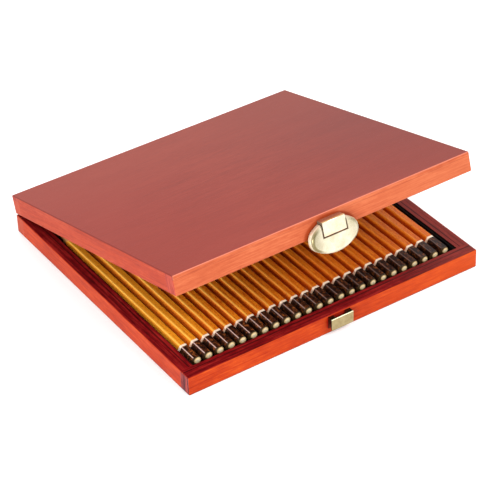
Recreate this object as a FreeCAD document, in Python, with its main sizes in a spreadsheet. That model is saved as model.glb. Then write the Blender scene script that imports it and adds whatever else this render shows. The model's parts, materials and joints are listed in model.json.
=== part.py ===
import FreeCAD, Part
import math
import os
import Sketcher

# A flat wooden pencil case in two halves: a base that holds one layer of pencils in a tray,
# and a lid on two butt hinges, kept shut by an oval latch that hooks under a keeper.
# The frame is centred under the base: +X to the right, +Y to the hinges, +Z up.
# Every piece is drawn with the case shut, then the lid and the latch are turned to their rest.

doc = FreeCAD.newDocument("pencil_case")

SIZES = (
    # wooden frame and panels
    ("wall", 9.5),  # thickness of every rail
    ("arris", 0.8),  # rounding of the outer edges
    ("floor_thick", 3.0),  # bottom panel, let in flush
    ("floor_lap", 4.0),  # how far the bottom panel reaches into the rails
    ("panel_thick", 3.0),  # top panel, which covers the lid's rails
    ("lid_height", 13.9),  # lid rails and top panel together
    ("seam_gap", 0.3),  # between the two halves when shut
    ("rim_rise", 0.1),  # rim above the top facets of the pencils
    ("lid_open", 15.3),  # degrees that the lid stands open at rest
    # pencils
    ("pencil_count", 24),
    ("pencil_flats", 7.0),  # across the flats of the hexagon
    ("pencil_length", 175.0),
    ("pencil_gap", 0.467),  # between the corners of neighbours
    ("pencil_arris", 0.45),  # rounding of the long edges
    ("end_round", 2.3),  # rounding of the dipped end
    ("end_flat", 1.85),  # radius of the flat inside that rounding
    ("core_radius", 1.1),
    ("core_fit", 0.02),  # glue line round the core
    ("core_cover", 2.5),  # wood over the core at the dipped end
    ("tip_radius", 0.35),  # of the sharpened core
    ("point_angle", 11.4),  # degrees from the axis to the sharpened cone
    ("cutter_radius", 6.0),  # of the cutter that shapes both ends, wider than the pencil
    # tray
    ("tray_fit", 0.2),  # tray to wood
    ("tray_wall", 1.0),
    ("tray_floor", 1.0),
    ("tray_drop", 1.2),  # tray edge below the rim
    ("side_gap", 0.933),  # outer pencil to tray wall
    ("front_gap", 3.6),  # dipped ends to tray wall
    ("back_gap", 20.0),  # points to tray wall, a finger trough
    ("bar_height", 2.8),  # seat of the pencils above the tray floor
    ("bar_width", 12.0),
    ("bar_inset", 25.0),  # outer bars from the ends of the full hexagon
    ("notch_depth", 1.6),
    ("notch_fit", 0.12),  # beside each pencil in its notch
    # foam pad in the lid
    ("pad_fit", 0.3),
    ("pad_clear", 1.5),  # above the pencils when shut
    ("pad_round", 1.5),
    # butt hinges
    ("hinge_inset", 44.0),  # hinge centre from the end of the case
    ("hinge_length", 26.0),
    ("leaf_depth", 7.5),  # leaf into the rail
    ("leaf_thick", 0.9),
    ("leaf_fit", 0.1),  # leaf to its mortise
    ("knuckle_radius", 1.65),
    ("knuckle_gap", 0.3),  # knuckles to the back faces and to each other
    ("middle_knuckle", 9.0),  # length of the lid leaf's knuckle
    ("hinge_pin_radius", 0.8),
    ("hinge_head_radius", 1.2),
    ("pin_head", 0.4),
    ("pin_fit", 0.05),  # radial running clearance of every pin
    ("pin_play", 0.3),  # beyond the ends of the latch pin
    # countersunk hinge screws
    ("screw_radius", 0.9),
    ("screw_head_radius", 1.7),
    ("screw_length", 7.0),
    ("screw_point", 1.6),
    ("screw_spread", 8.0),  # from the hinge centre
    ("screw_inset", 3.6),  # from the back face
    ("screw_fit", 0.03),  # fastener in wood
    ("hole_fit", 0.1),  # fastener in sheet brass
    ("slot_width", 0.5),
    ("slot_depth", 0.4),
    # latch and keeper, all of one brass sheet
    ("sheet", 0.8),
    ("latch_x", 0.8),  # centre of latch and keeper, right of the middle
    ("tongue_width", 17.2),  # bracket and keeper
    ("tongue_foot", 0.7),  # tongue above the lid's lower edge
    ("tongue_front", 6.0),  # tongue off the front face
    ("arm_top", 10.3),  # bracket above the lid's lower edge
    ("bend_round", 0.7),
    ("wing_reach", 4.5),  # screwed wings beside the bracket
    ("wing_foot", 1.0),
    ("wing_height", 3.4),
    ("pin_height", 7.0),  # latch pin above the lid's lower edge
    ("pin_out", 2.7),  # latch pin off the front face
    ("latch_pin_radius", 0.5),
    ("pin_shoulder", 0.8),  # radius of the latch pin between the cheeks
    ("ear_radius", 1.0),
    ("ear_thick", 0.8),
    ("window_gap", 0.6),  # cut-out of the oval round the tongue
    ("window_drop", 0.9),  # cut-out below the tongue
    ("oval_shoulder", 9.7),  # oval beyond the tongue, each side
    ("oval_top", 10.2),  # above the lid's lower edge
    ("oval_lip", 3.0),  # oval below the keeper
    ("oval_rim_out", 0.9),  # rim of the oval off the front face
    ("oval_end_radius", 8.3),  # of the two tighter arcs of the oval
    ("oval_round", 2.7),  # rounding of the oval's front edge
    ("latch_tilt", 4.0),  # degrees that the latch hangs out at rest
    ("hook_width", 10.0),
    ("hook_clear", 0.4),  # hook under the keeper
    ("hook_bite", 0.9),  # hook behind the keeper's front
    ("plate_clear", 0.5),  # oval over the keeper
    ("keeper_drop", 0.7),  # keeper below the rim
    ("keeper_height", 8.7),
    ("keeper_out", 4.2),  # keeper's front off the wood
    ("keeper_tab", 4.0),  # width of each top tab
    ("keeper_notch", 4.5),  # depth of the notch in the back leg
    ("keeper_corner", 1.0),
    # small fasteners of the latch
    ("wing_screw_radius", 0.8),
    ("wing_screw_length", 6.0),
    ("wing_head_radius", 1.45),
    ("wing_head", 0.7),
    ("nail_radius", 0.5),
    ("nail_length", 7.0),
    ("nail_head_radius", 1.0),
    ("nail_head", 0.4),
    ("nail_spread", 5.0),  # from the keeper's centre
    ("nail_rise", 2.2),  # above the keeper's lower edge
)

# Places that follow from the sizes, as formulas of a second sheet.
LAYOUT = (
    ("pencil_side", "sizes.pencil_flats / sqrt(3)"),
    ("pencil_pitch", "2 * pencil_side + sizes.pencil_gap"),
    ("first_pencil_x", "-(sizes.pencil_count - 1) * pencil_pitch / 2"),
    ("tray_side", "sizes.tray_wall + sizes.tray_fit"),
    ("half_inner_x", "pencil_side - first_pencil_x + sizes.side_gap + tray_side"),
    ("half_inner_y", "(sizes.front_gap + sizes.pencil_length + sizes.back_gap) / 2 + tray_side"),
    ("half_x", "half_inner_x + sizes.wall"),
    ("half_y", "half_inner_y + sizes.wall"),
    ("tray_floor_top", "sizes.floor_thick + sizes.tray_floor"),
    ("seat_z", "tray_floor_top + sizes.bar_height"),
    ("pencil_z", "seat_z + sizes.pencil_flats / 2"),
    ("pencil_top", "seat_z + sizes.pencil_flats"),
    ("base_top", "pencil_top + sizes.rim_rise"),
    ("tray_top", "base_top - sizes.tray_drop"),
    ("lid_bottom", "base_top + sizes.seam_gap"),
    ("lid_top", "lid_bottom + sizes.lid_height"),
    ("panel_bottom", "lid_top - sizes.panel_thick"),
    ("pencil_front", "tray_side + sizes.front_gap - half_inner_y"),
    ("pencil_tip", "pencil_front + sizes.pencil_length"),
    ("end_reach", "sizes.end_flat + sizes.end_round"),
    ("core_start", "pencil_front + sizes.core_cover"),
    ("bore_radius", "sizes.core_radius + sizes.core_fit"),
    ("point_slope", "tan(sizes.point_angle * 1deg)"),
    ("core_bare", "pencil_tip - (sizes.core_radius - sizes.tip_radius) / point_slope"),
    ("bore_bare", "pencil_tip - (bore_radius - sizes.tip_radius) / point_slope"),
    ("cutter_start", "pencil_tip - (sizes.cutter_radius - sizes.tip_radius) / point_slope"),
    ("cone_start", "pencil_tip - (pencil_side - sizes.tip_radius) / point_slope"),
    ("front_bar", "pencil_front + sizes.bar_inset"),
    ("back_bar", "cone_start - sizes.bar_inset"),
    ("notch_foot", "pencil_side / 2 + sizes.notch_fit * 2 / sqrt(3)"),
    ("notch_mouth", "notch_foot + sizes.notch_depth / sqrt(3)"),
    ("hinge_x", "half_x - sizes.hinge_inset"),
    ("hinge_y", "half_y + sizes.knuckle_radius + sizes.knuckle_gap"),
    ("hinge_z", "base_top + sizes.seam_gap / 2"),
    ("half_hinge", "sizes.hinge_length / 2"),
    ("half_middle", "sizes.middle_knuckle / 2"),
    ("leaf_front", "half_y - sizes.leaf_depth"),
    ("half_tongue", "sizes.tongue_width / 2"),
    ("half_window", "half_tongue + sizes.window_gap"),
    ("ear_end", "half_window + sizes.ear_thick"),
    ("tongue_back", "sizes.tongue_front - sizes.sheet"),
    ("tongue_foot_z", "lid_bottom + sizes.tongue_foot"),
    ("arm_z", "lid_bottom + sizes.arm_top"),
    ("wing_foot_z", "lid_bottom + sizes.wing_foot"),
    ("wing_screw_x", "half_tongue + sizes.wing_reach / 2"),
    ("wing_screw_z", "wing_foot_z + sizes.wing_height / 2"),
    ("keeper_top", "base_top - sizes.keeper_drop"),
    ("keeper_foot", "keeper_top - sizes.keeper_height"),
    ("plate_back", "sizes.keeper_out + sizes.plate_clear"),
    ("plate_front", "plate_back + sizes.sheet"),
    ("oval_half_x", "half_tongue + sizes.oval_shoulder"),
    ("oval_foot_z", "keeper_foot - sizes.oval_lip"),
    ("oval_top_z", "lid_bottom + sizes.oval_top"),
    ("oval_z", "(oval_top_z + oval_foot_z) / 2"),
    ("oval_half_z", "(oval_top_z - oval_foot_z) / 2"),
    ("end_centre", "oval_half_x - sizes.oval_end_radius"),
    ("oval_squares", "oval_half_x * oval_half_x + oval_half_z * oval_half_z"),
    ("oval_excess", "oval_squares - 2 * oval_half_x * sizes.oval_end_radius"),
    ("oval_side_radius", "oval_excess / (2 * (oval_half_z - sizes.oval_end_radius))"),
    ("side_centre", "oval_side_radius - oval_half_z"),
    ("oval_centres", "oval_side_radius - sizes.oval_end_radius"),
    ("latch_pin_y", "-half_y - sizes.pin_out"),
    ("latch_pin_z", "lid_bottom + sizes.pin_height"),
    ("hook_top", "keeper_foot - sizes.hook_clear"),
    ("hook_out", "sizes.keeper_out - sizes.hook_bite"),
    ("nail_z", "keeper_foot + sizes.nail_rise"),
)


def fill_sheet(name, rows, prefix=""):
    """Makes a sheet with one aliased cell for each row."""
    sheet = doc.addObject("Spreadsheet::Sheet", name)
    for row, (alias, content) in enumerate(rows, 1):
        sheet.set(f"A{row}", alias)
        sheet.set(f"B{row}", f"{prefix}{content}")
        sheet.setAlias(f"B{row}", alias)
    doc.recompute()
    return sheet


fill_sheet("sizes", SIZES)
layout = fill_sheet("layout", LAYOUT, "=")


def number(expression):
    """The present value of an expression of the two sheets."""
    return float(layout.evalExpression(expression))


# ---- sketches and features ----

PLANES = {"X": "YZ_Plane", "Y": "XZ_Plane", "Z": "XY_Plane"}
POINTS = ("whole", "start", "end", "centre")  # in the order that sketches number them
START, END, CENTRE = (POINTS.index(point) for point in POINTS[1:])
ORIGIN = -1  # the sketch's own origin point
OVERRUN = "1"  # how far a cut runs on past the face that it opens


def new_body(label):
    body = doc.addObject("PartDesign::Body", label)
    body.Label = label
    return body


def new_sketch(body, across, offset=("0", "0", "0")):
    """A sketch on the body's origin plane across an axis, shifted in that plane and along it."""
    sketch = body.newObject("Sketcher::SketchObject", "sketch")
    plane = next(item for item in body.Origin.OriginFeatures if item.Role == PLANES[across])
    sketch.AttachmentSupport = [(plane, "")]
    sketch.MapMode = "FlatFace"
    for axis, expression in zip("xyz", offset):
        sketch.setExpression(f".AttachmentOffset.Base.{axis}", expression)
    return sketch


def bind(sketch, expression, kind, *where):
    """Adds a dimension that follows an expression."""
    index = sketch.addConstraint(Sketcher.Constraint(kind, *where, number(expression)))
    sketch.setExpression(f"Constraints[{index}]", expression)


def bind_point(sketch, place, x, y):
    """Dimensions a point of the geometry from the sketch's origin."""
    bind(sketch, x, "DistanceX", ORIGIN, START, *place)
    bind(sketch, y, "DistanceY", ORIGIN, START, *place)


def draw_outline(sketch, points, arcs=()):
    """A closed outline; arcs maps a side's index to its radius, for arcs that turn clockwise."""
    arcs = dict(arcs)
    corners = [FreeCAD.Vector(number(x), number(y), 0) for x, y in points]
    ends = []
    for index, start in enumerate(corners):
        end = corners[(index + 1) % len(corners)]
        if index in arcs:
            chord = end - start
            radius = number(arcs[index])
            rise = radius - math.sqrt(radius**2 - chord.Length**2 / 4)
            outward = FreeCAD.Vector(-chord.y, chord.x, 0).normalize() * rise
            sketch.addGeometry(Part.Arc(start, (start + end) / 2 + outward, end), False)
            ends.append(((index, END), (index, START)))
        else:
            sketch.addGeometry(Part.LineSegment(start, end), False)
            ends.append(((index, START), (index, END)))
    for index, (x, y) in enumerate(points):
        sketch.addConstraint(Sketcher.Constraint("Coincident", *ends[index - 1][1], *ends[index][0]))
        bind_point(sketch, ends[index][0], x, y)
    for index, radius in arcs.items():
        bind(sketch, radius, "Radius", index)


def draw_circle(sketch, radius):
    """A circle about the sketch's origin."""
    outline = Part.Circle(FreeCAD.Vector(0, 0, 0), FreeCAD.Vector(0, 0, 1), number(radius))
    circle = sketch.addGeometry(outline, False)
    bind_point(sketch, (circle, CENTRE), "0", "0")
    bind(sketch, radius, "Radius", circle)


def draw_oval(sketch, inset):
    """The four tangent arcs of the latch's oval, all drawn in by a distance."""
    end_radius = f"(sizes.oval_end_radius - {inset})"
    share = f"{end_radius} / layout.oval_centres"
    x, z = f"(layout.end_centre * (1 + {share}))", f"(layout.side_centre * {share})"
    corners = [(f"-{x}", z), (x, z), (x, f"-{z}"), (f"-{x}", f"-{z}")]
    side_radius = f"layout.oval_side_radius - {inset}"
    draw_outline(sketch, corners, {0: side_radius, 1: end_radius, 2: side_radius, 3: end_radius})


def add_feature(body, kind, sketch):
    feature = body.newObject(f"PartDesign::{kind}", kind.lower())
    feature.Profile = sketch
    return feature


def extrude(body, across, low, high, draw, start=("0", "0"), cut=False):
    """Pads or cuts what draw puts in a sketch, from one level to another along an axis."""
    backwards = across == "Y"  # the sketch's normal is -Y there
    level = f"-({high})" if backwards else low
    sketch = new_sketch(body, across, (*start, level))
    draw(sketch)
    feature = add_feature(body, "Pocket" if cut else "Pad", sketch)
    feature.Reversed = cut
    feature.setExpression("Length", f"({high}) - ({low})")
    doc.recompute()
    return feature


def prism(body, across, low, high, points, start=("0", "0"), cut=False):
    return extrude(body, across, low, high, lambda sketch: draw_outline(sketch, points), start, cut)


def rod(body, across, low, high, middle, radius, cut=False):
    return extrude(body, across, low, high, lambda sketch: draw_circle(sketch, radius), middle, cut)


def box(body, x, y, z, cut=False):
    """A box between two levels along each axis."""
    corners = [(x[0], y[0]), (x[1], y[0]), (x[1], y[1]), (x[0], y[1])]
    return prism(body, "Z", z[0], z[1], corners, cut=cut)


def spin(body, across, offset, axis, points, arcs=(), cut=False):
    """Turns an outline about an axis of its own sketch, as a solid or as a cut."""
    sketch = new_sketch(body, across, offset)
    draw_outline(sketch, points, arcs)
    feature = add_feature(body, "Groove" if cut else "Revolution", sketch)
    feature.ReferenceAxis = (sketch, [f"{axis}_Axis"])
    feature.Angle = 360
    doc.recompute()
    return feature


def round_edges(body, radius, wanted):
    """Rounds the edges whose bounding box passes a test."""
    base = body.Tip
    numbered = enumerate(base.Shape.Edges, 1)
    names = [f"Edge{index}" for index, edge in numbered if wanted(edge.BoundBox)]
    fillet = body.newObject("PartDesign::Fillet", "fillet")
    fillet.Base = (base, names)
    fillet.setExpression("Radius", radius)
    doc.recompute()


def in_plane(axis, expression):
    """A test for edges that lie in the plane at a level of an axis."""
    level = number(expression)

    def test(edge):
        ends = (getattr(edge, f"{axis}Min"), getattr(edge, f"{axis}Max"))
        return all(abs(end - level) < 0.001 for end in ends)

    return test


def round_arrises(body, planes, radius="sizes.arris"):
    """Rounds the edges where two of the given planes meet."""
    tests = [in_plane(*plane) for plane in planes]
    round_edges(body, radius, lambda edge: sum(test(edge) for test in tests) == 2)


def repeat(body, feature, pitch, count):
    """Repeats a feature along X."""
    pattern = body.newObject("PartDesign::LinearPattern", "pattern")
    axis = next(item for item in body.Origin.OriginFeatures if item.Role == "X_Axis")
    pattern.Originals = [feature]
    pattern.Direction = (axis, [""])
    pattern.Mode = "Spacing"
    pattern.setExpression("Offset", pitch)
    pattern.setExpression("Occurrences", count)
    body.Tip = pattern
    doc.recompute()


# ---- places ----

FRONT = "-layout.half_y"
HINGE_AXIS = "vector(0; layout.hinge_y; layout.hinge_z)"
LATCH_AXIS = "vector(0; layout.latch_pin_y; layout.latch_pin_z)"
DOWN, UP = "-1", "1"


def both(expression):
    """The levels at both sides of the middle."""
    return (f"-({expression})", expression)


def off_front(distance):
    """A place along Y at a distance in front of the front faces."""
    return f"-(layout.half_y + {distance})"


def turned(shift, angle, axis):
    """A placement expression: turned front up or foot out by an angle, and shifted along X."""
    return f"placement(vector({shift}; 0; 0); rotation(vector(-1; 0; 0); {angle}); {axis})"


def place_in_base(body, x="0", z="0"):
    body.setExpression(".Placement.Base.x", x)
    body.setExpression(".Placement.Base.z", z)


def place_in_lid(body, x="0"):
    body.setExpression("Placement", turned(x, "sizes.lid_open", HINGE_AXIS))


def place_in_latch(body):
    in_lid = turned("sizes.latch_x", "sizes.lid_open", HINGE_AXIS)
    in_latch = turned("0", "sizes.latch_tilt", LATCH_AXIS)
    body.setExpression("Placement", f"{in_lid} * {in_latch}")


# ---- wooden frame and panels ----


def rail(label, x, y, z, planes):
    """A rail whose arrises are rounded where two of the given outer planes meet."""
    body = new_body(label)
    box(body, x, y, z)
    round_arrises(body, planes)
    return body


def four_rails(half, z, rims):
    """Front and back rails over the full width, and side rails that butt between them."""
    width, depth = both("layout.half_x"), both("layout.half_y")
    inner_width, inner_depth = both("layout.half_inner_x"), both("layout.half_inner_y")
    levels = [("Z", rim) for rim in rims]
    ends = [("X", end) for end in width]
    rails = {}
    for index, side in enumerate(("front", "back")):
        y = (inner_depth[index], depth[index])
        y = y if side == "back" else y[::-1]
        planes = [*ends, ("Y", depth[index]), *levels]
        rails[side] = rail(f"{half}_{side}_rail", width, y, z, planes)
    for index, side in enumerate(("left", "right")):
        x = (inner_width[index], width[index])
        rails[side] = rail(f"{half}_{side}_rail", x, inner_depth, z, [("X", width[index]), *levels])
    return rails


def rebate(body):
    """The rebate that takes the bottom panel."""
    reach_x = both("layout.half_inner_x + sizes.floor_lap")
    reach_y = both("layout.half_inner_y + sizes.floor_lap")
    box(body, reach_x, reach_y, ("0", "sizes.floor_thick"), cut=True)


def mortises(body, face, into):
    """The recesses for both leaves in a back rail, and the screw holes under them."""
    half_length = "(layout.half_hinge + sizes.leaf_fit)"
    front = "layout.leaf_front - sizes.leaf_fit"
    levels = leaf_levels(face, into)
    for hinge in both("layout.hinge_x"):
        x = (f"{hinge} - {half_length}", f"{hinge} + {half_length}")
        box(body, x, (front, f"layout.half_y + {OVERRUN}"), levels, cut=True)
        for screw in both("sizes.screw_spread"):
            countersunk(body, f"{hinge} + {screw}", face, into, "sizes.screw_fit", cut=True)


def front_holes(body, spread, height, radius, length):
    """Two holes in a front rail for the fasteners of the latch or the keeper."""
    depth = f"{length} - sizes.sheet + sizes.screw_fit"
    for x in both(spread):
        middle = (f"sizes.latch_x + {x}", height)
        rod(body, "Y", FRONT, f"{FRONT} + {depth}", middle, f"{radius} + sizes.screw_fit", cut=True)


def base_frame():
    rails = four_rails("base", ("0", "layout.base_top"), ("0", "layout.base_top"))
    for body in rails.values():
        rebate(body)
    mortises(rails["back"], "layout.base_top", DOWN)
    nail = ("sizes.nail_radius", "sizes.nail_length")
    front_holes(rails["front"], "sizes.nail_spread", "layout.nail_z", *nail)
    panel = new_body("base_bottom_panel")
    reach_x = both("layout.half_inner_x + sizes.floor_lap")
    reach_y = both("layout.half_inner_y + sizes.floor_lap")
    box(panel, reach_x, reach_y, ("0", "sizes.floor_thick"))


def lid_frame():
    rails = four_rails("lid", ("layout.lid_bottom", "layout.panel_bottom"), ["layout.lid_bottom"])
    mortises(rails["back"], "layout.lid_bottom", UP)
    screw = ("sizes.wing_screw_radius", "sizes.wing_screw_length")
    front_holes(rails["front"], "layout.wing_screw_x", "layout.wing_screw_z", *screw)
    panel = new_body("lid_top_panel")
    width, depth = both("layout.half_x"), both("layout.half_y")
    box(panel, width, depth, ("layout.panel_bottom", "layout.lid_top"))
    sides = [("X", end) for end in width] + [("Y", end) for end in depth]
    round_arrises(panel, [*sides, ("Z", "layout.lid_top")])
    for body in (*rails.values(), panel):
        place_in_lid(body)


def lid_foam_pad():
    """A soft pad under the top panel that keeps the pencils in their seats."""
    body = new_body("lid_foam_pad")
    x = both("layout.half_inner_x - sizes.pad_fit")
    y = both("layout.half_inner_y - sizes.pad_fit")
    lower = "layout.pencil_top + sizes.pad_clear"
    box(body, x, y, (lower, "layout.panel_bottom"))
    round_edges(body, "sizes.pad_round", in_plane("Z", lower))
    place_in_lid(body)


# ---- tray and pencils ----


def pencil_tray():
    """A thin-walled tray with three notched bars across it."""
    body = new_body("pencil_tray")
    x, y = both("layout.half_inner_x - sizes.tray_fit"), both("layout.half_inner_y - sizes.tray_fit")
    box(body, x, y, ("sizes.floor_thick", "layout.tray_top"))
    x, y = both("layout.half_inner_x - layout.tray_side"), both("layout.half_inner_y - layout.tray_side")
    box(body, x, y, ("layout.tray_floor_top", "layout.tray_top"), cut=True)
    bar_top = "layout.seat_z + sizes.notch_depth"
    middles = ("layout.front_bar", "(layout.front_bar + layout.back_bar) / 2", "layout.back_bar")
    for middle in middles:
        y = (f"{middle} - sizes.bar_width / 2", f"{middle} + sizes.bar_width / 2")
        box(body, x, y, ("layout.tray_floor_top", bar_top))
    notch = [
        ("-layout.notch_foot", "0"),
        ("layout.notch_foot", "0"),
        ("layout.notch_mouth", "sizes.notch_depth"),
        ("-layout.notch_mouth", "sizes.notch_depth"),
    ]
    ends = (f"{middles[0]} - sizes.bar_width / 2", f"{middles[2]} + sizes.bar_width / 2")
    first = prism(body, "Y", *ends, notch, start=("layout.first_pencil_x", "layout.seat_z"), cut=True)
    repeat(body, first, "layout.pencil_pitch", "sizes.pencil_count")


def pencil(index):
    """A hexagonal pencil along its body's Y axis: bored, sharpened at the back, rounded in front."""
    body = new_body(f"pencil_{index + 1:02d}")
    side, flat = "layout.pencil_side", "sizes.pencil_flats / 2"
    hexagon = [
        (side, "0"),
        (f"{side} / 2", flat),
        (f"-{side} / 2", flat),
        (f"-{side}", "0"),
        (f"-{side} / 2", f"-{flat}"),
        (f"{side} / 2", f"-{flat}"),
    ]
    front, tip = "layout.pencil_front", "layout.pencil_tip"
    prism(body, "Y", front, tip, hexagon)
    length = number("sizes.pencil_length")
    round_edges(body, "sizes.pencil_arris", lambda edge: edge.YLength > length / 2)
    bore_and_cone = [
        ("layout.core_start", "0"),
        ("layout.core_start", "layout.bore_radius"),
        ("layout.bore_bare", "layout.bore_radius"),
        ("layout.cutter_start", "sizes.cutter_radius"),
        (f"{tip} + {OVERRUN}", "sizes.cutter_radius"),
        (f"{tip} + {OVERRUN}", "0"),
    ]
    own_axis = ("0", "0", "0")
    spin(body, "X", own_axis, "H", bore_and_cone, cut=True)
    dipped_end = [
        (front, "sizes.end_flat"),
        (f"{front} + sizes.end_round", "layout.end_reach"),
        (f"{front} + sizes.end_round", "sizes.cutter_radius"),
        (f"{front} - {OVERRUN}", "sizes.cutter_radius"),
        (f"{front} - {OVERRUN}", "sizes.end_flat"),
    ]
    spin(body, "X", own_axis, "H", dipped_end, {0: "sizes.end_round"}, cut=True)
    place_in_base(body, f"layout.first_pencil_x + {index} * layout.pencil_pitch", "layout.pencil_z")


def pencil_cores():
    body = new_body("pencil_cores")
    outline = [
        ("layout.core_start", "0"),
        ("layout.core_start", "sizes.core_radius"),
        ("layout.core_bare", "sizes.core_radius"),
        ("layout.pencil_tip", "sizes.tip_radius"),
        ("layout.pencil_tip", "0"),
    ]
    core = spin(body, "X", ("0", "0", "0"), "H", outline)
    repeat(body, core, "layout.pencil_pitch", "sizes.pencil_count")
    place_in_base(body, "layout.first_pencil_x", "layout.pencil_z")


# ---- butt hinges ----


def leaf_levels(face, into):
    """A leaf let in flush with the face of its rail."""
    back = f"{face} + {into} * sizes.leaf_thick"
    return (back, face) if into == DOWN else (face, back)


def hinge_leaf(label, face, into, knuckles):
    """A leaf with its knuckles on the hinge axis, drawn about the middle of the case."""
    body = new_body(label)
    levels = leaf_levels(face, into)
    box(body, both("layout.half_hinge"), ("layout.leaf_front", "layout.half_y"), levels)
    axis = ("layout.hinge_y", "layout.hinge_z")
    for low, high in knuckles:
        box(body, (low, high), ("layout.half_y", "layout.hinge_y"), levels)
        rod(body, "X", low, high, axis, "sizes.knuckle_radius")
    bore = "sizes.hinge_pin_radius + sizes.pin_fit"
    rod(body, "X", *both("layout.half_hinge"), axis, bore, cut=True)
    for x in both("sizes.screw_spread"):
        countersunk(body, x, face, into, "sizes.hole_fit", cut=True)
    return body


def countersunk(body, x, face, into, fit="0", cut=False):
    """A flat-headed screw from a leaf's face into its rail, or the hole for it with a clearance."""
    offset = (x, face, "-(layout.half_y - sizes.screw_inset)")
    cone = "(sizes.screw_head_radius - sizes.screw_radius)"
    points = [
        ("0", "0"),
        (f"sizes.screw_head_radius + {fit}", "0"),
        (f"sizes.screw_radius + {fit}", f"{into} * {cone}"),
        (f"sizes.screw_radius + {fit}", f"{into} * (sizes.screw_length - sizes.screw_point)"),
        ("0", f"{into} * (sizes.screw_length + {fit})"),
    ]
    spin(body, "Y", offset, "V", points, cut=cut)


def hinge_screws(label, face, into):
    """The four screws of one half, each with a slot across its head."""
    body = new_body(label)
    bottom = f"{face} + {into} * sizes.slot_depth"
    levels = (bottom, face) if into == DOWN else (face, bottom)
    middle = "(layout.half_y - sizes.screw_inset)"
    y = (f"{middle} - sizes.screw_head_radius", f"{middle} + sizes.screw_head_radius")
    for hinge in both("layout.hinge_x"):
        for screw in both("sizes.screw_spread"):
            x = f"{hinge} + {screw}"
            countersunk(body, x, face, into)
            box(body, (f"{x} - sizes.slot_width / 2", f"{x} + sizes.slot_width / 2"), y, levels, cut=True)
    return body


def hinge_pin(label):
    """A pin with a peened head at each end."""
    body = new_body(label)
    left, right = both("layout.half_hinge")
    outline = [
        (f"{left} - sizes.pin_head", "0"),
        (f"{left} - sizes.pin_head", "sizes.hinge_head_radius"),
        (left, "sizes.hinge_head_radius"),
        (left, "sizes.hinge_pin_radius"),
        (right, "sizes.hinge_pin_radius"),
        (right, "sizes.hinge_head_radius"),
        (f"{right} + sizes.pin_head", "sizes.hinge_head_radius"),
        (f"{right} + sizes.pin_head", "0"),
    ]
    spin(body, "Y", ("0", "layout.hinge_z", "-layout.hinge_y"), "H", outline)
    return body


def hinges():
    inner = "layout.half_middle + sizes.knuckle_gap"
    outer_knuckles = [("-layout.half_hinge", f"-({inner})"), (inner, "layout.half_hinge")]
    middle_knuckle = [both("layout.half_middle")]
    for side, x in zip(("left", "right"), both("layout.hinge_x")):
        base_leaf = hinge_leaf(f"base_hinge_leaf_{side}", "layout.base_top", DOWN, outer_knuckles)
        lid_leaf = hinge_leaf(f"lid_hinge_leaf_{side}", "layout.lid_bottom", UP, middle_knuckle)
        place_in_base(base_leaf, x)
        place_in_base(hinge_pin(f"hinge_pin_{side}"), x)
        place_in_lid(lid_leaf, x)
    hinge_screws("base_hinge_screws", "layout.base_top", DOWN)
    place_in_lid(hinge_screws("lid_hinge_screws", "layout.lid_bottom", UP))


# ---- latch on the lid and keeper on the base, drawn about their own middle ----


def latch_bracket():
    """A bent strip: a flange with two screwed wings, an arm, and a tongue that hangs in front."""
    body = new_body("latch_bracket")
    inner_top = "layout.arm_z - sizes.sheet"
    back, flange = FRONT, off_front("sizes.sheet")
    tongue_back, tongue = off_front("layout.tongue_back"), off_front("sizes.tongue_front")
    profile = [
        (back, "layout.wing_foot_z"),
        (back, "layout.arm_z"),
        (tongue, "layout.arm_z"),
        (tongue, "layout.tongue_foot_z"),
        (tongue_back, "layout.tongue_foot_z"),
        (tongue_back, inner_top),
        (flange, inner_top),
        (flange, "layout.wing_foot_z"),
    ]
    prism(body, "X", *both("layout.half_tongue"), profile)
    round_arrises(body, [("Y", tongue), ("Z", "layout.arm_z")], "sizes.bend_round")
    wings = (both("layout.half_tongue + sizes.wing_reach"), (flange, back))
    box(body, *wings, ("layout.wing_foot_z", "layout.wing_foot_z + sizes.wing_height"))
    axis = ("layout.latch_pin_y", "layout.latch_pin_z")
    cheek_foot = "layout.latch_pin_z - sizes.ear_radius"
    for side in (DOWN, UP):
        outer, inner = f"{side} * layout.half_tongue", f"{side} * (layout.half_tongue - sizes.sheet)"
        x = (outer, inner) if side == DOWN else (inner, outer)
        box(body, x, (tongue_back, flange), (cheek_foot, inner_top))
    bore = "sizes.latch_pin_radius + sizes.pin_fit"
    rod(body, "X", *both("layout.half_tongue"), axis, bore, cut=True)
    hole = "sizes.wing_screw_radius + sizes.hole_fit"
    for x in both("layout.wing_screw_x"):
        rod(body, "Y", flange, back, (x, "layout.wing_screw_z"), hole, cut=True)
    place_in_lid(body, "sizes.latch_x")


def latch_pin():
    """A pin whose thicker middle sits between the bracket's cheeks."""
    body = new_body("latch_pin")
    inner = "layout.half_tongue - sizes.sheet"
    outline = [
        ("-layout.ear_end", "0"),
        ("-layout.ear_end", "sizes.latch_pin_radius"),
        (f"-({inner})", "sizes.latch_pin_radius"),
        (f"-({inner})", "sizes.pin_shoulder"),
        (inner, "sizes.pin_shoulder"),
        (inner, "sizes.latch_pin_radius"),
        ("layout.ear_end", "sizes.latch_pin_radius"),
        ("layout.ear_end", "0"),
    ]
    spin(body, "Y", ("0", "layout.latch_pin_z", "-layout.latch_pin_y"), "H", outline)
    place_in_lid(body, "sizes.latch_x")


def latch_ear(body, low, high):
    """An ear round the latch pin, joined to the back of the plate."""
    pin, height, radius = "layout.latch_pin_y", "layout.latch_pin_z", "sizes.ear_radius"
    plate = off_front("layout.plate_back + sizes.sheet / 4")
    outline = [
        (pin, f"{height} + {radius}"),
        (plate, height),
        (plate, f"{height} - {radius}"),
        (pin, f"{height} - {radius}"),
    ]
    prism(body, "X", low, high, outline)
    rod(body, "X", low, high, (pin, height), radius)


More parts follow.
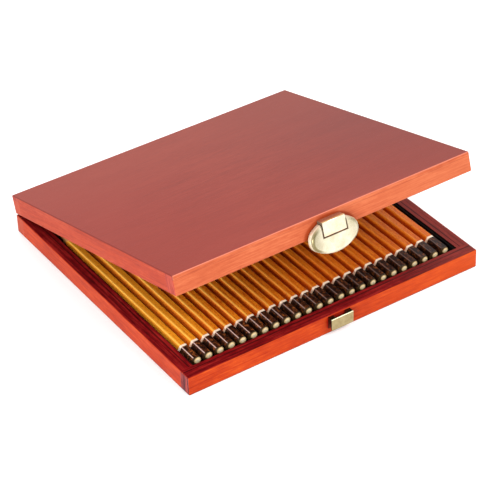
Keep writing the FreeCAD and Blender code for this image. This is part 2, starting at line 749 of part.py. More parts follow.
def latch_plate():
    """A hollow oval pressing, cut out round the tongue, that hooks under the keeper."""
    body = new_body("latch_plate")
    back, front = off_front("layout.plate_back"), off_front("layout.plate_front")
    rim = off_front("sizes.oval_rim_out")

    middle = ("0", "layout.oval_z")
    extrude(body, "Y", front, rim, lambda sketch: draw_oval(sketch, "0"), middle)
    extrude(body, "Y", back, rim, lambda sketch: draw_oval(sketch, "sizes.sheet"), middle, cut=True)
    round_edges(body, "sizes.oval_round - sizes.sheet", in_plane("Y", back))
    round_edges(body, "sizes.oval_round", in_plane("Y", front))

    window = both("layout.half_window")
    below = f"layout.oval_foot_z - {OVERRUN}"
    hook_foot = "layout.hook_top - sizes.sheet"
    passage = (off_front("(sizes.keeper_out - sizes.sheet)"), FRONT)
    box(body, window, passage, (below, "layout.hook_top"), cut=True)
    hook = (off_front("layout.plate_back + sizes.sheet / 4"), off_front("layout.hook_out"))
    box(body, both("sizes.hook_width / 2"), hook, (hook_foot, "layout.hook_top"))
    opening = ("layout.tongue_foot_z - sizes.window_drop", f"layout.oval_top_z + {OVERRUN}")
    box(body, window, (f"{front} - {OVERRUN}", FRONT), opening, cut=True)
    latch_ear(body, "-layout.ear_end", "-layout.half_window")
    latch_ear(body, "layout.half_window", "layout.ear_end")
    bore = "sizes.latch_pin_radius + sizes.pin_fit"
    axis = ("layout.latch_pin_y", "layout.latch_pin_z")
    rod(body, "X", *both("layout.ear_end + sizes.pin_play"), axis, bore, cut=True)
    place_in_latch(body)


def catch_plate():
    """The keeper: a folded strip, open below, whose front edge the latch hooks under."""
    body = new_body("catch_plate")
    inner_top = "layout.keeper_top - sizes.sheet"
    back, leg = FRONT, off_front("sizes.sheet")
    front_back, front = off_front("(sizes.keeper_out - sizes.sheet)"), off_front("sizes.keeper_out")
    profile = [
        (back, "layout.keeper_foot"),
        (back, "layout.keeper_top"),
        (front, "layout.keeper_top"),
        (front, "layout.keeper_foot"),
        (front_back, "layout.keeper_foot"),
        (front_back, inner_top),
        (leg, inner_top),
        (leg, "layout.keeper_foot"),
    ]
    prism(body, "X", *both("layout.half_tongue"), profile)
    notch = ("layout.keeper_top - sizes.keeper_notch", f"layout.keeper_top + {OVERRUN}")
    box(body, both("layout.half_tongue - sizes.keeper_tab"), (front_back, back), notch, cut=True)
    round_arrises(body, [("Y", front), ("Z", "layout.keeper_top")], "sizes.bend_round")
    sides = [in_plane("X", end) for end in both("layout.half_tongue")]
    foot = in_plane("Z", "layout.keeper_foot")
    front_half = number(front_back) + 0.001

    def front_corner(edge):
        return foot(edge) and edge.YMax < front_half and any(side(edge) for side in sides)

    round_edges(body, "sizes.keeper_corner", front_corner)
    for x in both("sizes.nail_spread"):
        rod(body, "Y", leg, back, (x, "layout.nail_z"), "sizes.nail_radius + sizes.hole_fit", cut=True)
    place_in_base(body, "sizes.latch_x")


def headed(body, x, height, head_radius, head, radius, length):
    """A round-headed fastener through the sheet into a front rail, pointed at its far end."""
    under = off_front("sizes.sheet")
    shoulder = f"{head} / 2"
    outline = [
        (f"{under} - {head}", "0"),
        (f"{under} - {head}", f"{head_radius} - {shoulder}"),
        (f"{under} - {shoulder}", head_radius),
        (under, head_radius),
        (under, radius),
        (f"{under} + {length} - {radius}", radius),
        (f"{under} + {length}", "0"),
    ]
    spin(body, "X", ("0", height, x), "H", outline, {1: shoulder})


def bracket_screws():
    body = new_body("latch_bracket_screws")
    height, radius = "layout.wing_screw_z", "sizes.wing_head_radius"
    top = off_front("sizes.sheet + sizes.wing_head")
    slot = (top, f"{top} + sizes.slot_depth")
    levels = (f"{height} - sizes.slot_width / 2", f"{height} + sizes.slot_width / 2")
    for x in both("layout.wing_screw_x"):
        shank = ("sizes.wing_screw_radius", "sizes.wing_screw_length")
        headed(body, x, height, radius, "sizes.wing_head", *shank)
        box(body, (f"{x} - {radius}", f"{x} + {radius}"), slot, levels, cut=True)
    place_in_lid(body, "sizes.latch_x")


def catch_nails():
    body = new_body("catch_nails")
    for x in both("sizes.nail_spread"):
        head = ("sizes.nail_head_radius", "sizes.nail_head")
        headed(body, x, "layout.nail_z", *head, "sizes.nail_radius", "sizes.nail_length")
    place_in_base(body, "sizes.latch_x")


base_frame()
pencil_tray()
for place in range(int(number("sizes.pencil_count"))):
    pencil(place)
pencil_cores()
lid_frame()
lid_foam_pad()
hinges()
latch_bracket()
bracket_screws()
latch_pin()
latch_plate()
catch_plate()
catch_nails()
doc.recompute()

# ---- check and write ----

bodies = [item for item in doc.Objects if item.TypeId == "PartDesign::Body"]
failed = [item.Label for item in doc.Objects if {"Invalid", "Error"} & set(item.State)]
bad = [body.Label for body in bodies if body.Shape.isNull() or not body.Shape.isValid()]
if failed or bad:
    raise RuntimeError(f"failed features: {failed}; bad shapes: {bad}")

os.makedirs("parts", exist_ok=True)
for body in bodies:
    body.Shape.exportStep(f"parts/{body.Label}.step")
    print(f"{body.Label}: {len(body.Shape.Solids)} solids, {body.Shape.Volume:.1f} mm3")
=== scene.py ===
"""Looks for a flat wooden pencil case whose lid stands open at about 15 degrees.

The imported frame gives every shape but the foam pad. This script adds the pad, procedural
materials, rounded metal edges, a camera, soft studio light and a pale floor.
Lengths are millimetres inside a material and in names that end in _MM, and metres elsewhere.
Places on the lid and the latch are those on the closed lid, where the wood stands square to
the axes.
"""

import json
import math
from collections import namedtuple

import bmesh
import bpy
from mathutils import Matrix, Vector


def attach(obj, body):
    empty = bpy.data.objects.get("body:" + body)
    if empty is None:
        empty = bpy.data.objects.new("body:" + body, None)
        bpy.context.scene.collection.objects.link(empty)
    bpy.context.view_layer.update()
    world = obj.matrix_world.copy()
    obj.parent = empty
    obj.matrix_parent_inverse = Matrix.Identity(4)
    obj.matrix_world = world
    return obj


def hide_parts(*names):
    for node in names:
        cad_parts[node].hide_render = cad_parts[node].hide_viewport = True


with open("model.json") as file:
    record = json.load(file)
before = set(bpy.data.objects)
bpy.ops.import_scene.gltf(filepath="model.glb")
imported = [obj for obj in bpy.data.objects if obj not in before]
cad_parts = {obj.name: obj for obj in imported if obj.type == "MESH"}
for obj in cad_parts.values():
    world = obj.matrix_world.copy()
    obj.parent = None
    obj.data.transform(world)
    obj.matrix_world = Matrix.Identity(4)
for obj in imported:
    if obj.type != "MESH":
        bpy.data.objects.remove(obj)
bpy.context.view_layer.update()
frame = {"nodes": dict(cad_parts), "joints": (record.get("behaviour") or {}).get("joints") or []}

MM = 0.001

# ---- places, from the closed case ----

WALL_MM = 9.5  # width of a rail
HALF_X_MM, HALF_Y_MM = 114.0, 110.0
PANEL_BOTTOM_MM = 25.1
PAD_BOTTOM_MM = 15.3

PENCIL_COUNT = 24
PENCIL_PITCH_MM = 8.55
FIRST_PENCIL_X_MM = -98.325
PENCIL_AXIS_Z_MM = 10.3
TIP_Y_MM = 79.3
TIP_RADIUS_MM = 0.35
POINT_SLOPE = math.tan(math.radians(11.4))

JOINTS = {joint["name"]: joint for joint in frame["joints"]}
LID_AXIS = Vector(JOINTS["lid_hinge"]["pos_m"])
LID_OPEN = math.radians(-JOINTS["lid_hinge"]["range_deg"][0])
AS_OPENED = (
    Matrix.Translation(LID_AXIS)
    @ Matrix.Rotation(-LID_OPEN, 4, "X")
    @ Matrix.Translation(-LID_AXIS)
)


def tone(red, green, blue):
    """A colour read off a screen, 0 to 255, as the linear values that shaders take."""
    def linear(level):
        level /= 255
        return level / 12.92 if level <= 0.04045 else ((level + 0.055) / 1.055) ** 2.4

    return (linear(red), linear(green), linear(blue), 1.0)


# ---- node trees ----

FACING = 0.6, 0.85  # share of a normal along an axis, where a face begins to count as facing it


class Material:
    """A material whose node tree is written as plain sums. Lengths in it are millimetres."""

    def __init__(self, name, on_lid=False):
        self.material = bpy.data.materials.new(name)
        self.material.use_nodes = True
        self.tree = self.material.node_tree
        self.shader = self.tree.nodes["Principled BSDF"]
        coordinates = self.tree.nodes.new("ShaderNodeTexCoord")
        place, normal = coordinates.outputs["Object"], coordinates.outputs["Normal"]
        if on_lid:
            place = self.turned_back(place, LID_AXIS)
            normal = self.turned_back(normal, (0, 0, 0))
        self.place = self.drawn_out(place, (MM, MM, MM))
        self.normal = normal

    def turned_back(self, vector, centre):
        """A place or direction on the open lid, as it is on the closed one."""
        node = self.tree.nodes.new("ShaderNodeVectorRotate")
        node.rotation_type = "X_AXIS"
        node.inputs["Center"].default_value = centre
        node.inputs["Angle"].default_value = LID_OPEN
        self.tree.links.new(vector, node.inputs["Vector"])
        return node.outputs[0]

    def put(self, socket, value):
        """Links a socket to another node's output, or sets it to a plain value."""
        if isinstance(value, bpy.types.NodeSocket):
            self.tree.links.new(value, socket)
        else:
            socket.default_value = value

    def math(self, operation, *values):
        node = self.tree.nodes.new("ShaderNodeMath")
        node.operation = operation
        for socket, value in zip(node.inputs, values):
            self.put(socket, value)
        return node.outputs[0]

    def times(self, value, *factors):
        for factor in factors:
            value = self.math("MULTIPLY", value, factor)
        return value

    def minus(self, value, less):
        return self.math("SUBTRACT", value, less)

    def absolute(self, value):
        return self.math("ABSOLUTE", value)

    def distance(self, across, upward):
        squares = [self.math("POWER", value, 2.0) for value in (across, upward)]
        return self.math("SQRT", self.math("ADD", *squares))

    def drawn_out(self, place, stretch):
        """The place, squeezed so that a pattern on it is drawn out by the stretch."""
        node = self.tree.nodes.new("ShaderNodeVectorMath")
        node.operation = "DIVIDE"
        self.put(node.inputs[0], place)
        self.put(node.inputs[1], stretch)
        return node.outputs[0]

    def parts(self, vector):
        node = self.tree.nodes.new("ShaderNodeSeparateXYZ")
        self.put(node.inputs[0], vector)
        return node.outputs[0], node.outputs[1], node.outputs[2]

    def step(self, value, low, high):
        """0 below low and 1 above high, and smooth between. With low above high it falls."""
        node = self.tree.nodes.new("ShaderNodeMapRange")
        node.interpolation_type = "SMOOTHSTEP"
        self.put(node.inputs["Value"], value)
        low, high, ends = (low, high, (0.0, 1.0)) if low < high else (high, low, (1.0, 0.0))
        node.inputs["From Min"].default_value = low
        node.inputs["From Max"].default_value = high
        node.inputs["To Min"].default_value, node.inputs["To Max"].default_value = ends
        return node.outputs[0]

    def within(self, value, low, high, soft):
        """1 between low and high, and 0 outside them."""
        rise = self.step(value, low - soft / 2, low + soft / 2)
        return self.times(rise, self.step(value, high + soft / 2, high - soft / 2))

    def facing(self, normal_part):
        """1 where the surface faces along an axis, either way."""
        return self.step(self.absolute(normal_part), *FACING)

    def scaled(self, value, low, high):
        """A value from 0 to 1, brought to the range from low to high."""
        return self.math("MULTIPLY_ADD", value, high - low, low)

    def noise(self, place, per_mm, stretch=(1, 1, 1), detail=3.0, roughness=0.55, shift=0.0):
        """Noise from 0 to 1 with cells of about 1 / per_mm, drawn out by stretch."""
        drawn = self.drawn_out(place, stretch)
        node = self.tree.nodes.new("ShaderNodeTexNoise")
        node.noise_dimensions = "4D"
        node.inputs["Scale"].default_value = per_mm
        node.inputs["Detail"].default_value = detail
        node.inputs["Roughness"].default_value = roughness
        self.put(node.inputs["Vector"], drawn)
        self.put(node.inputs["W"], shift)
        return node.outputs[0]

    def chance(self, value):
        """A number from 0 to 1 that belongs to a whole number."""
        node = self.tree.nodes.new("ShaderNodeTexWhiteNoise")
        node.noise_dimensions = "1D"
        self.put(node.inputs["W"], value)
        return node.outputs[0]

    def mix(self, factor, first, second):
        node = self.tree.nodes.new("ShaderNodeMix")
        node.data_type = "RGBA"
        self.put(node.inputs[0], factor)
        self.put(node.inputs[6], first)
        self.put(node.inputs[7], second)
        return node.outputs[2]

    def tinted(self, colour, tint, mask, depth):
        """The colour, changed towards a tint by the depth where the mask is 1."""
        return self.mix(self.times(mask, depth), colour, tint)

    def ramp(self, value, *stops):
        """A colour ramp from (place, colour) pairs."""
        node = self.tree.nodes.new("ShaderNodeValToRGB")
        elements = node.color_ramp.elements
        while len(elements) < len(stops):
            elements.new(0.5)
        for element, (place, colour) in zip(elements, stops):
            element.position = place
            element.color = colour
        self.put(node.inputs[0], value)
        return node.outputs[0]

    def bump(self, *layers):
        """Relief from (height from 0 to 1, depth in millimetres) pairs."""
        total = 0.0
        for height, depth in layers:
            total = self.math("MULTIPLY_ADD", height, depth * MM, total)
        node = self.tree.nodes.new("ShaderNodeBump")
        node.inputs["Distance"].default_value = 1.0
        self.put(node.inputs["Height"], total)
        self.tree.links.new(node.outputs[0], self.shader.inputs["Normal"])

    def finish(self, colour, roughness, metallic=0.0, **plain):
        """The surface itself. Plain values are the same all over and sit on their sockets."""
        self.put(self.shader.inputs["Base Color"], colour)
        self.put(self.shader.inputs["Roughness"], roughness)
        self.put(self.shader.inputs["Metallic"], metallic)
        for name, value in plain.items():
            self.shader.inputs[name.replace("_", " ")].default_value = value
        return self.material


def dress(node, material):
    """Gives a CAD node its material."""
    for slot in frame["nodes"][node].material_slots:
        slot.material = material


# ---- wood ----

GRAIN_LENGTH = 26  # of a streak, in its widths
ALONG = {"X": (GRAIN_LENGTH, 1, 1), "Y": (1, GRAIN_LENGTH, 1)}
WOOD_GLOSS = 0.08

# The rims are the faces at the seam: with the case shut, the base's look up (1) and the lid's
# look down (-1). The shift sets the noise of one half apart from the other's.
Half = namedtuple("Half", "name tones side_tones end_tones rim_side on_lid shift")
BASE = Half(
    "base",
    tones=(tone(140, 33, 5), tone(170, 53, 12), tone(196, 80, 22)),
    side_tones=(tone(146, 38, 16), tone(172, 56, 24), tone(190, 74, 36)),
    end_tones=(tone(74, 24, 30), tone(126, 50, 50), tone(164, 74, 66)),
    rim_side=1,
    on_lid=False,
    shift=1.0,
)
# The lid's tones are paler than the base's, and its side tones darker than its front ones: painted
# light on the front of the tilted lid, which catches more light, and painted shade on its sides.
LID = Half(
    "lid",
    tones=(tone(155, 68, 41), tone(173, 84, 52), tone(190, 104, 68)),
    side_tones=(tone(140, 42, 24), tone(161, 55, 31), tone(176, 72, 44)),
    end_tones=(tone(138, 46, 36), tone(158, 58, 44), tone(174, 72, 54)),
    rim_side=-1,
    on_lid=True,
    shift=2.0,
)
TOP_SHIFT, BOTTOM_SHIFT = 4.0, 5.0
RIM_SHIFT = 20
PAIR_SHIFT = 0.3  # between the two rails of a pair

# Painted shadow behind a fitting that stands off the wood, within an outline: its middle and half
# widths in mm, its power in off_centre, and the shadow's tone.
Fitting = namedtuple("Fitting", "x z half power dirt")
LATCH = Fitting(0.5, 13.2, (20.1, 13.1), 2, dirt=tone(140, 52, 20))
KEEPER = Fitting(0.6, 8.5, (9.6, 4.9), 6, dirt=tone(150, 24, 10))
SHADOW_DEPTH = 0.9
SHADOW_EDGE = 1.05, 0.95  # in half widths, over which the painted shadow begins
SHADOWED_FRONT_MM = 0.5 - HALF_Y_MM, 0.2 - HALF_Y_MM

# Changes of tone: from and to in mm, depth.
RAIL_PALE = -20, 110, 0.3  # along x, to the lightest tone
RIM_SKY_REFLECTION = 30, 120, 0.4  # along x; paler towards the right, a painted reflection of the open sky
END_PALE = -1, 1, 0.6  # along y, from the end grain in front to the one behind
FOOT_SHADE = 1.3, 0.4, 0.5  # along z, down to the surface that the base stands on: painted shade where the bottom arris turns down
SEAM_LINE = PANEL_BOTTOM_MM + 0.45, PANEL_BOTTOM_MM + 0.15, 0.3  # along z, down to the panel's seam
# TOP_TONES are greyed towards mauve: a painted sheen of the sky over a red stain.
TOP_TONES = tone(116, 44, 37), tone(139, 58, 48), tone(156, 72, 59)
TOP_CHANGES = (  # with the axis before and the tone after
    ("x", 30, -110, 0.5, tone(145, 50, 40)),
    ("x", -20, 130, 0.68, tone(118, 58, 54)),
    ("y", -20, 110, 0.4, tone(150, 72, 60)),
    ("y", 20, -110, 0.35, tone(140, 48, 34)),
)
BOTTOM_TONES = tone(108, 44, 28), tone(132, 60, 38), tone(150, 78, 52)
# The rims' dark red is partly their own stain and partly painted shade under the lid.
RIM_TONES = tone(80, 6, 10), tone(120, 12, 16), tone(154, 34, 30)
# painted reflection of the sky on the rims
RIM_SKY_REFLECTION_TONE = tone(126, 60, 48)
RIM_LINES = (0.34, 0.5, 0.5), (0.66, 0.9, 0.85)  # place across the rail, width in mm, depth
RIM_LINE_TONE = tone(52, 6, 8)
RIM_LINE_SOFT_MM = 0.35
INNER_TONE = tone(24, 10, 8)
# painted highlight on the lid's front arris
ARRIS_HIGHLIGHT = tone(208, 122, 98)
SEAM_TONE = tone(96, 40, 38)
ARRIS_DARK_DEPTH, SIDE_ARRIS_DARK_DEPTH = 0.9, 0.6  # darkening on the arrises of the rails, and of the lid's sides


def grained(m, along, tones, shift, spread=0.11):
    """Colour of long-grained stained wood, and its streaks and pores as heights."""
    def drawn(share, rest=1):
        return [share * length + rest for length in ALONG[along]]

    dark, middle, light = tones
    streaks = m.noise(m.place, 1.1, ALONG[along], detail=5, roughness=0.62, shift=shift)
    clouds = m.noise(m.place, 0.09, drawn(0.12), detail=3, shift=shift + 3)
    mottle = m.noise(m.place, 0.55, drawn(0.1), detail=4, roughness=0.7, shift=shift + 5)
    pores = m.noise(m.place, 3.2, drawn(0.6, 0.4), detail=2, shift=shift + 7)
    pores = m.step(pores, 0.62, 0.72)
    level = m.math("MULTIPLY_ADD", streaks, 0.5, m.times(clouds, 0.25))
    level = m.math("MULTIPLY_ADD", mottle, 0.25, level)
    colour = m.ramp(level, (0.5 - spread, dark), (0.5, middle), (0.5 + spread, light))
    return m.tinted(colour, dark, pores, 0.45), streaks, pores


def end_grained(m, tones, shift):
    """Colour of sawn end grain, striped up and down."""
    dark, middle, light = tones
    stripes = m.noise(m.place, 0.8, (1, 1, 12), detail=3, roughness=0.7, shift=shift + 11)
    return m.ramp(stripes, (0.4, dark), (0.5, middle), (0.62, light))


def arris(m):
    """1 where the surface turns from one plane to the next."""
    x, y, z = (m.absolute(part) for part in m.parts(m.normal))
    return m.step(m.math("MAXIMUM", m.math("MAXIMUM", x, y), z), 0.995, 0.88)


def off_centre(m, across, upward, half, power):
    """1 on an oval with these half widths, less inside. A high power squares its corners."""
    total = 0.0
    for value, reach in zip((across, upward), half):
        share = m.absolute(m.math("DIVIDE", value, reach))
        total = m.math("ADD", m.math("POWER", share, power), total)
    return m.math("POWER", total, 1 / power)


def shadowed_behind(m, colour, fitting):
    """The colour, with painted shadow behind a fitting on the front."""
    x, y, z = m.parts(m.place)
    across, upward = m.minus(x, fitting.x), m.minus(z, fitting.z)
    away = off_centre(m, across, upward, fitting.half, fitting.power)
    # painted shadow on the wood within the fitting's outline
    behind = m.times(m.step(away, *SHADOW_EDGE), m.step(y, *SHADOWED_FRONT_MM))
    return m.tinted(colour, fitting.dirt, behind, SHADOW_DEPTH)


def rail_wood(name, along, half, shift, fitting=None):
    """Wood of a rail: stained faces, dark rims with lines along them, end grain, darkened arrises.

    Shadow is painted behind a fitting, if there is one.
    """
    m = Material(name, half.on_lid)
    x, y, z = m.parts(m.place)
    normal_x, normal_y, normal_z = m.parts(m.normal)
    if along == "X":
        colour, streaks, pores = grained(m, along, half.tones, shift, spread=0.14)
        start, end, depth = RAIL_PALE
        colour = m.tinted(colour, half.tones[-1], m.step(x, start, end), depth)
        end_colour = end_grained(m, half.end_tones, shift)
        start, end, depth = END_PALE
        end_colour = m.tinted(end_colour, half.side_tones[-1], m.step(y, start, end), depth)
        colour = m.mix(m.facing(normal_x), colour, end_colour)
        inward = m.minus(HALF_Y_MM, m.absolute(y))
        outward = m.times(m.math("SIGN", y), normal_y)
    else:
        colour, streaks, pores = grained(m, along, half.side_tones, shift)
        inward = m.minus(HALF_X_MM, m.absolute(x))
        outward = m.times(m.math("SIGN", x), normal_x)
    colour = m.mix(m.step(outward, *(-share for share in FACING)), colour, INNER_TONE)

    rim_colour, *_ = grained(m, along, RIM_TONES, shift + RIM_SHIFT, spread=0.08)
    # paler towards the right: painted reflection of the sky
    start, end, depth = RIM_SKY_REFLECTION
    rim_colour = m.tinted(rim_colour, RIM_SKY_REFLECTION_TONE, m.step(x, start, end), depth)
    for place, width, depth in RIM_LINES:
        line = m.within(inward, WALL_MM * place, WALL_MM * place + width, RIM_LINE_SOFT_MM)
        rim_colour = m.tinted(rim_colour, RIM_LINE_TONE, line, depth)
    rim = m.step(m.times(normal_z, half.rim_side), 0.75, 0.95)
    colour = m.mix(rim, colour, rim_colour)

    # darker along the arrises away from the rim
    away_from_rim = m.step(m.times(normal_z, -half.rim_side), 0.1, 0.6)
    darkened = m.times(arris(m), away_from_rim, ARRIS_DARK_DEPTH)
    if half is BASE:
        # painted shade along the bottom arris of the base
        start, end, depth = FOOT_SHADE
        darkened = m.math("MAXIMUM", darkened, m.times(m.step(z, start, end), depth))
    colour = m.mix(darkened, colour, RIM_LINE_TONE)
    if fitting:
        # painted shadow behind the fitting
        colour = shadowed_behind(m, colour, fitting)
    m.bump((streaks, 0.05), (pores, -0.03))
    return m.finish(colour, m.scaled(streaks, 0.38, 0.55), Specular_IOR_Level=WOOD_GLOSS)


def top_panel_wood():
    """Veneer on the lid, whose edge band is stained like the rails and carries a painted highlight
    along its front arris.
    """
    m = Material("lid_top_wood", on_lid=True)
    x, y, z = m.parts(m.place)
    normal_x, normal_y, normal_z = m.parts(m.normal)
    # the top's tones carry a painted sheen of the sky
    colour, streaks, pores = grained(m, "X", TOP_TONES, TOP_SHIFT, spread=0.17)
    for axis, start, end, depth, changed in TOP_CHANGES:
        value = x if axis == "x" else y
        colour = m.tinted(colour, changed, m.step(value, start, end), depth)
    band, *_ = grained(m, "X", LID.tones, LID.shift)
    side_band, *_ = grained(m, "Y", LID.side_tones, LID.shift)
    sideways = m.facing(normal_x)
    band = m.mix(sideways, band, side_band)
    rail_ends = HALF_Y_MM - WALL_MM
    end_place = m.step(m.absolute(y), rail_ends - 0.1, rail_ends + 0.1)
    end_face = m.times(end_place, sideways)
    band = m.mix(end_face, band, end_grained(m, LID.end_tones, LID.shift))
    upright = m.step(normal_z, 0.5, 0.3)
    colour = m.mix(upright, colour, band)

    turning = arris(m)
    front = m.step(normal_y, -0.2, -0.45)
    # painted highlight along the front arris, broken by the streaks
    rubbing_and_highlight = m.times(turning, front, m.scaled(streaks, 0.5, 1.1))
    colour = m.mix(rubbing_and_highlight, colour, ARRIS_HIGHLIGHT)
    # darker along the side arrises
    darkened = m.times(turning, m.step(m.absolute(normal_x), 0.3, 0.5))
    colour = m.tinted(colour, SEAM_TONE, darkened, SIDE_ARRIS_DARK_DEPTH)
    start, end, depth = SEAM_LINE
    colour = m.tinted(colour, SEAM_TONE, m.step(z, start, end), depth)
    # painted shadow behind the latch
    colour = shadowed_behind(m, colour, LATCH)
    m.bump((streaks, 0.04), (pores, -0.03))
    return m.finish(colour, m.scaled(streaks, 0.4, 0.55), Specular_IOR_Level=WOOD_GLOSS)


def bottom_panel_wood():
    m = Material("base_bottom_wood")
    colour, streaks, pores = grained(m, "X", BOTTOM_TONES, BOTTOM_SHIFT)
    m.bump((streaks, 0.05), (pores, -0.04))
    return m.finish(colour, m.scaled(streaks, 0.5, 0.65), Specular_IOR_Level=WOOD_GLOSS)


def dress_wood():
    for half, fitting in ((BASE, KEEPER), (LID, LATCH)):
        for along, sides in (("X", ("front", "back")), ("Y", ("left", "right"))):
            for index, side in enumerate(sides):
                name, shift = f"{half.name}_{side}", half.shift + PAIR_SHIFT * index
                behind = fitting if side == "front" else None
                dress(f"{name}_rail", rail_wood(f"{name}_wood", along, half, shift, behind))
    dress("lid_top_panel", top_panel_wood())
    dress("base_bottom_panel", bottom_panel_wood())


# ---- pencils ----

LACQUER = tone(166, 64, 8), tone(230, 113, 17), tone(252, 164, 42)
# painted highlight on the left upper arris of the lacquer
LACQUER_HIGHLIGHT = tone(255, 196, 84)
LACQUER_LIT = tone(255, 180, 44)  # painted light on the first pencils in the row
LACQUER_SHADED = tone(206, 88, 14)  # painted shade on the last ones, under the lid
LACQUER_FLECK = tone(140, 56, 8)
LACQUER_SHADE = tone(182, 50, 8)
LACQUER_GLOSS = 0.17
CEDAR = tone(192, 120, 56), tone(222, 154, 84), tone(236, 178, 112)
RING = tone(252, 226, 200)
CAP = tone(32, 14, 8), tone(72, 34, 17), tone(188, 104, 46)
CAP_SHADE = tone(14, 8, 9)
# painted highlight on the left upper arris of the cap
CAP_HIGHLIGHT = tone(232, 194, 182)
# gold paint with a painted highlight near the top of each end, fading into painted shade below
GOLD_HIGHLIGHT_AND_SHADE = (0.3, tone(255, 240, 202)), (0.58, tone(250, 214, 156)), (0.85, tone(54, 36, 14))
GRAPHITE = (0.35, tone(40, 40, 44)), (0.7, tone(84, 84, 90))
TRAY = (0.3, tone(9, 7, 7)), (0.7, tone(18, 15, 15))

FIRST, LIT_ROW, SHADED_ROW = (1, 0), (4, 0), (2, 15)  # places in the row, from none to full, of painted light on the first pencils and painted shade on the later ones
LIT_ROW_DEPTH, SHADED_ROW_DEPTH, FLECK_DEPTH = 0.4, 0.55, 0.5
SHADE_DEPTH = 0.5, 0.1  # of most pencils and of the first
CAP_SHADED_ROW_DEPTH = 0.4
HIGHLIGHT_DEPTH, CAP_HIGHLIGHT_DEPTH = (0.7, 0.12), (0.85, 0.15)  # of the painted highlight, on the first pencils and on the shaded ones
OWN_SHIFT = 40.0  # most that one pencil's noise is set apart
SHADED_MM = 2.9, 0.9  # above the axis, from clear to shaded by the next pencil
LEFT_SIDE_MM, TOP_MM = (0.4, -0.4), (1.8, 2.4)  # beside and above the axis, of the lit arris
EDGE_MM, CAP_EDGE_MM = (3.62, 3.86), (3.8, 4.0)  # from the axis, where the arris begins
GOLD_HIGHLIGHT_MM = 0.45, 1.2  # middle of the painted highlight on an end, beside and above the axis
GOLD_HIGHLIGHT_WIDTH = 1.3  # in its heights
GOLD_HIGHLIGHT_REACH_MM = 2.6  # over which the painted highlight fades into painted shade
GOLD_SHADED_ROW_MM = 0.25  # less reach of the painted highlight on the pencils painted as shaded
GOLD_END_MM = -94.4  # bands along Y, from the dipped end
CAP_END_MM = -80.8
RING_END_MM = -78.9
DIP_SOFT_MM = 0.35, 0.05  # past the end of a band, where it begins and where it is full
GOLD_SOFT_MM = 0.3
WAVER_MM = 0.3  # of the bands' ends
POINT_MM = 55.0, 56.0  # along Y, from which the wood may be bare
CUT_MM = -0.09, -0.04  # past the surface of the cone, over which the bare wood begins


